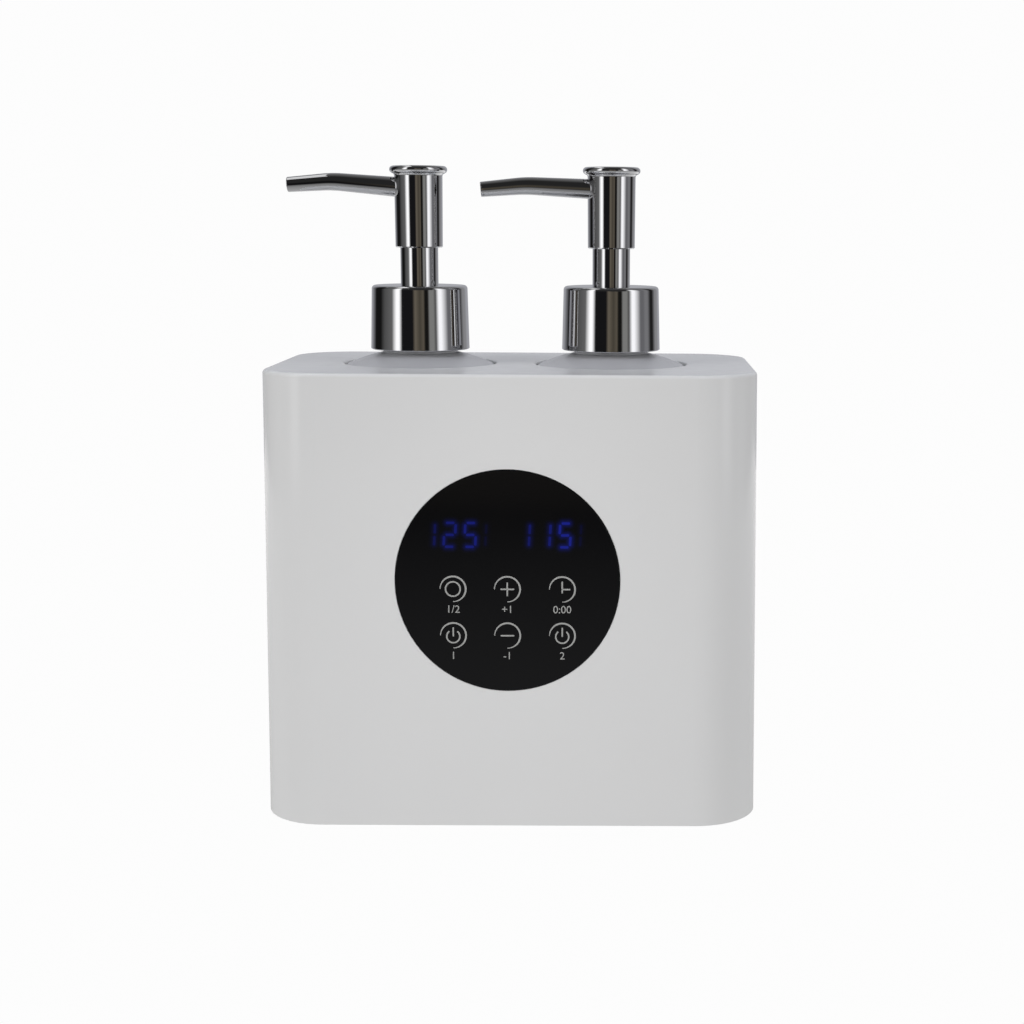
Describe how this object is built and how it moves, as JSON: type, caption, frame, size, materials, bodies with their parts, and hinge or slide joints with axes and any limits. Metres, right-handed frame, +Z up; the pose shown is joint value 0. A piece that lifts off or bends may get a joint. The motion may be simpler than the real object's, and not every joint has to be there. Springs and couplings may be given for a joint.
{
  "type": "lotion warmer",
  "caption": "Counter-top lotion warmer: rounded housing with a round touch panel and heated wells that hold lift-out bottles with chrome swivel-head lotion pumps.",
  "frame": {"origin": "on the table, under the middle of the housing", "axes": "+Z up, -Y towards the front with the touch panel, +X to the right seen from the front"},
  "size_m": [0.163, 0.097, 0.2151],
  "materials": {
    "housing_plastic": "semi-gloss moulded, very fine grain",
    "base_plastic": "satin moulded",
    "foot_rubber": "matt",
    "screw_steel": "zinc plated",
    "inner_black_plastic": "satin",
    "well_aluminium": "spun, satin",
    "heater_silicone": "satin silicone",
    "insulation_felt": "needle felt",
    "lead_sleeve": "satin",
    "panel_lens": "polished, back-printed",
    "panel_adhesive": "matt foam tape",
    "board_laminate": "solder mask",
    "ribbon_plastic": "satin",
    "bottle_plastic": "semi-gloss",
    "pump_chrome": "polished",
    "clear_plastic": "natural, slightly milky",
    "seal_rubber": "satin",
    "spring_steel": "bright drawn"
  },
  "bodies": {
    "warmer": {"housing_shell": "housing_plastic", "base_plate": "base_plastic", "rubber_feet": "foot_rubber", "base_screws": "screw_steel", "well_carrier": "inner_black_plastic", "control_panel": "panel_lens", "panel_adhesive": "panel_adhesive", "control_board": "board_laminate", "board_screws": "screw_steel", "touch_springs": "screw_steel", "board_components": "inner_black_plastic", "power_board": "board_laminate", "power_components": "inner_black_plastic", "dc_inlet": "inner_black_plastic", "board_cable": "ribbon_plastic", "left_heating_well": "well_aluminium", "right_heating_well": "well_aluminium", "left_heater_band": "heater_silicone", "right_heater_band": "heater_silicone", "left_insulation": "insulation_felt", "right_insulation": "insulation_felt", "left_thermostat": "inner_black_plastic", "right_thermostat": "inner_black_plastic", "left_thermistor": "inner_black_plastic", "right_thermistor": "inner_black_plastic", "left_leads": "lead_sleeve", "right_leads": "lead_sleeve", "left_display": "inner_black_plastic", "right_display": "inner_black_plastic"},
    "left_bottle": {"left_bottle": "bottle_plastic"},
    "left_pump": {"left_collar_shell": "pump_chrome", "left_closure": "clear_plastic", "left_neck_gasket": "seal_rubber", "left_guide_tube": "pump_chrome", "left_pump_cylinder": "clear_plastic", "left_dip_tube": "clear_plastic", "left_return_spring": "spring_steel"},
    "left_valve_ball": {"left_check_ball": "spring_steel"},
    "left_piston": {"left_piston": "seal_rubber"},
    "left_head": {"left_stem": "clear_plastic", "left_pump_head": "pump_chrome", "left_nozzle": "pump_chrome"},
    "right_bottle": {"right_bottle": "bottle_plastic"},
    "right_pump": {"right_collar_shell": "pump_chrome", "right_closure": "clear_plastic", "right_neck_gasket": "seal_rubber", "right_guide_tube": "pump_chrome", "right_pump_cylinder": "clear_plastic", "right_dip_tube": "clear_plastic", "right_return_spring": "spring_steel"},
    "right_valve_ball": {"right_check_ball": "spring_steel"},
    "right_piston": {"right_piston": "seal_rubber"},
    "right_head": {"right_stem": "clear_plastic", "right_pump_head": "pump_chrome", "right_nozzle": "pump_chrome"}
  },
  "joints": [
    {"name": "left_bottle_lift", "type": "slide", "parent": "warmer", "child": "left_bottle", "axis": [0, 0, 1], "range_m": [0, 0.05]},
    {"name": "left_pump_lift", "type": "slide", "parent": "left_bottle", "child": "left_pump", "axis": [0, 0, 1], "range_m": [0, 0.15]},
    {"name": "left_pump_press", "type": "slide", "parent": "left_pump", "child": "left_piston", "axis": [0, 0, 1], "range_m": [-0.012, 0], "stiffness_N_per_m": 700, "springref_m": 0.009, "deforming": ["left_return_spring"]},
    {"name": "left_head_swivel", "type": "hinge", "parent": "left_piston", "child": "left_head", "pos_m": [-0.03235, 0, 0.2], "axis": [0, 0, 1], "range_deg": [-120, 120]},
    {"name": "left_ball_lift", "type": "slide", "parent": "left_pump", "child": "left_valve_ball", "axis": [0, 0, 1], "range_m": [0, 0.0015]},
    {"name": "right_bottle_lift", "type": "slide", "parent": "warmer", "child": "right_bottle", "axis": [0, 0, 1], "range_m": [0, 0.14]},
    {"name": "right_pump_lift", "type": "slide", "parent": "right_bottle", "child": "right_pump", "axis": [0, 0, 1], "range_m": [0, 0.15]},
    {"name": "right_pump_press", "type": "slide", "parent": "right_pump", "child": "right_piston", "axis": [0, 0, 1], "range_m": [-0.012, 0], "stiffness_N_per_m": 700, "springref_m": 0.009, "deforming": ["right_return_spring"]},
    {"name": "right_head_swivel", "type": "hinge", "parent": "right_piston", "child": "right_head", "pos_m": [0.03235, 0, 0.2], "axis": [0, 0, 1], "range_deg": [-120, 120]},
    {"name": "right_ball_lift", "type": "slide", "parent": "right_pump", "child": "right_valve_ball", "axis": [0, 0, 1], "range_m": [0, 0.0015]}
  ]
}
